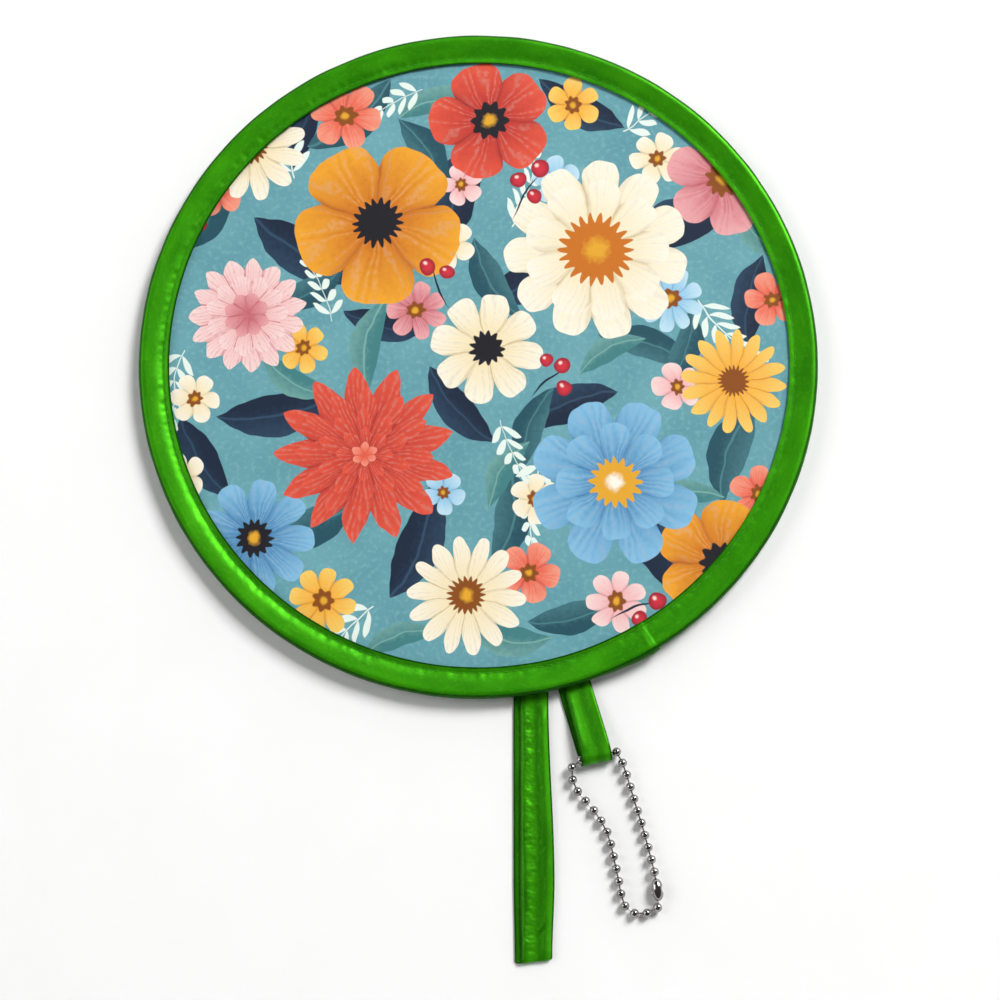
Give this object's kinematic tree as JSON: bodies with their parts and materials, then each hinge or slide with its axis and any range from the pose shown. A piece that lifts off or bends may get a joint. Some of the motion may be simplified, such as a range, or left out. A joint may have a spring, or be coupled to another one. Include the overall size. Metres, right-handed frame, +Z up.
{
  "type": "collapsible hand fan",
  "caption": "Round pop-up hand fan: printed cloth on a spring hoop in a satin binding, with a handle strap and a bead chain on a tab; the hoop folds and the straps and chain swing.",
  "frame": {"origin": "middle of the fan's outline, on the surface that it lies on", "axes": "+X to the right of the printed face, +Y from the handle strap to the far edge, +Z up from the surface, out of the printed face"},
  "size_m": [0.24, 0.3296, 0.0066],
  "materials": {
    "green_satin": "satin",
    "printed_cloth": "matte",
    "spring_steel": "satin",
    "nickel": "polished"
  },
  "bodies": {
    "near_panel": {"binding_near": "green_satin", "cloth_near": "printed_cloth", "hoop_near_left": "spring_steel", "hoop_near_right": "spring_steel", "hoop_ferrule": "spring_steel", "handle_strap_tail": "green_satin", "chain_tab_tail": "green_satin"},
    "fold_band_1": {"binding_band_1_left": "green_satin", "binding_band_1_right": "green_satin", "hoop_band_1_left": "spring_steel", "hoop_band_1_right": "spring_steel", "cloth_band_1": "printed_cloth"},
    "fold_band_2": {"binding_band_2_left": "green_satin", "binding_band_2_right": "green_satin", "hoop_band_2_left": "spring_steel", "hoop_band_2_right": "spring_steel", "cloth_band_2": "printed_cloth"},
    "far_panel": {"binding_far": "green_satin", "cloth_far": "printed_cloth", "hoop_far": "spring_steel"},
    "handle_strap": {"handle_strap": "green_satin"},
    "chain_tab": {"chain_tab": "green_satin"},
    "chain_top": {"chain_bead_08": "nickel", "chain_bead_09": "nickel", "chain_bead_10": "nickel", "chain_bead_11": "nickel", "chain_bead_12": "nickel", "chain_bead_13": "nickel", "chain_bead_14": "nickel", "chain_bead_15": "nickel", "chain_bead_16": "nickel", "chain_bead_17": "nickel", "chain_bead_18": "nickel", "chain_bead_19": "nickel", "chain_bead_20": "nickel"},
    "chain_middle": {"chain_bead_05": "nickel", "chain_bead_06": "nickel", "chain_bead_07": "nickel", "chain_bead_21": "nickel", "chain_bead_22": "nickel", "chain_bead_23": "nickel"},
    "chain_bottom": {"chain_bead_01": "nickel", "chain_bead_02": "nickel", "chain_bead_03": "nickel", "chain_bead_04": "nickel", "chain_bead_24": "nickel", "chain_bead_25": "nickel", "chain_bead_26": "nickel", "chain_bead_27": "nickel", "chain_bead_28": "nickel", "chain_bead_29": "nickel", "chain_bead_30": "nickel", "chain_bead_31": "nickel", "chain_bead_32": "nickel"},
    "chain_clasp": {"chain_clasp": "nickel"}
  },
  "joints": [
    {"name": "hoop_fold", "type": "hinge", "parent": "near_panel", "child": "fold_band_1", "pos_m": [0, 0.01883, 0.0062], "axis": [1, 0, 0], "range_deg": [0, 55], "stiffness_Nm_per_rad": 0.02},
    {"name": "hoop_fold_middle", "type": "hinge", "parent": "fold_band_1", "child": "fold_band_2", "pos_m": [0, 0.04483, 0.0062], "axis": [1, 0, 0], "range_deg": [0, 55], "stiffness_Nm_per_rad": 0.02},
    {"name": "hoop_fold_far", "type": "hinge", "parent": "fold_band_2", "child": "far_panel", "pos_m": [0, 0.07083, 0.0062], "axis": [1, 0, 0], "range_deg": [0, 55], "stiffness_Nm_per_rad": 0.02},
    {"name": "handle_strap_swing", "type": "hinge", "parent": "near_panel", "child": "handle_strap", "pos_m": [0.0184, -0.07483, 0.002], "axis": [-1, 0, 0], "range_deg": [0, 90]},
    {"name": "chain_tab_swing", "type": "hinge", "parent": "near_panel", "child": "chain_tab", "pos_m": [0.03356, -0.07069, 0.0016], "axis": [-0.9603, -0.279, 0], "range_deg": [0, 60]},
    {"name": "chain_swing", "type": "hinge", "parent": "chain_tab", "child": "chain_top", "pos_m": [0.04051, -0.09461, 0.0026], "axis": [-0.9603, -0.279, 0], "range_deg": [0, 60]},
    {"name": "chain_bend_upper", "type": "hinge", "parent": "chain_top", "child": "chain_middle", "pos_m": [0.04764, -0.11291, 0.00164], "axis": [-0.9323, -0.3616, 0.001], "range_deg": [0, 20]},
    {"name": "chain_bend_lower", "type": "hinge", "parent": "chain_middle", "child": "chain_bottom", "pos_m": [0.05185, -0.12503, 0.00164], "axis": [-0.9349, -0.3549, 0.0019], "range_deg": [0, 20]},
    {"name": "clasp_swivel", "type": "hinge", "parent": "chain_bottom", "child": "chain_clasp", "pos_m": [0.06129, -0.14, 0.00222], "axis": [-0.1278, 0.9918, 0], "continuous": true}
  ],
  "couplings": [
    {"joint": "hoop_fold_middle", "follows": "hoop_fold", "ratio": 1},
    {"joint": "hoop_fold_far", "follows": "hoop_fold", "ratio": 1}
  ]
}
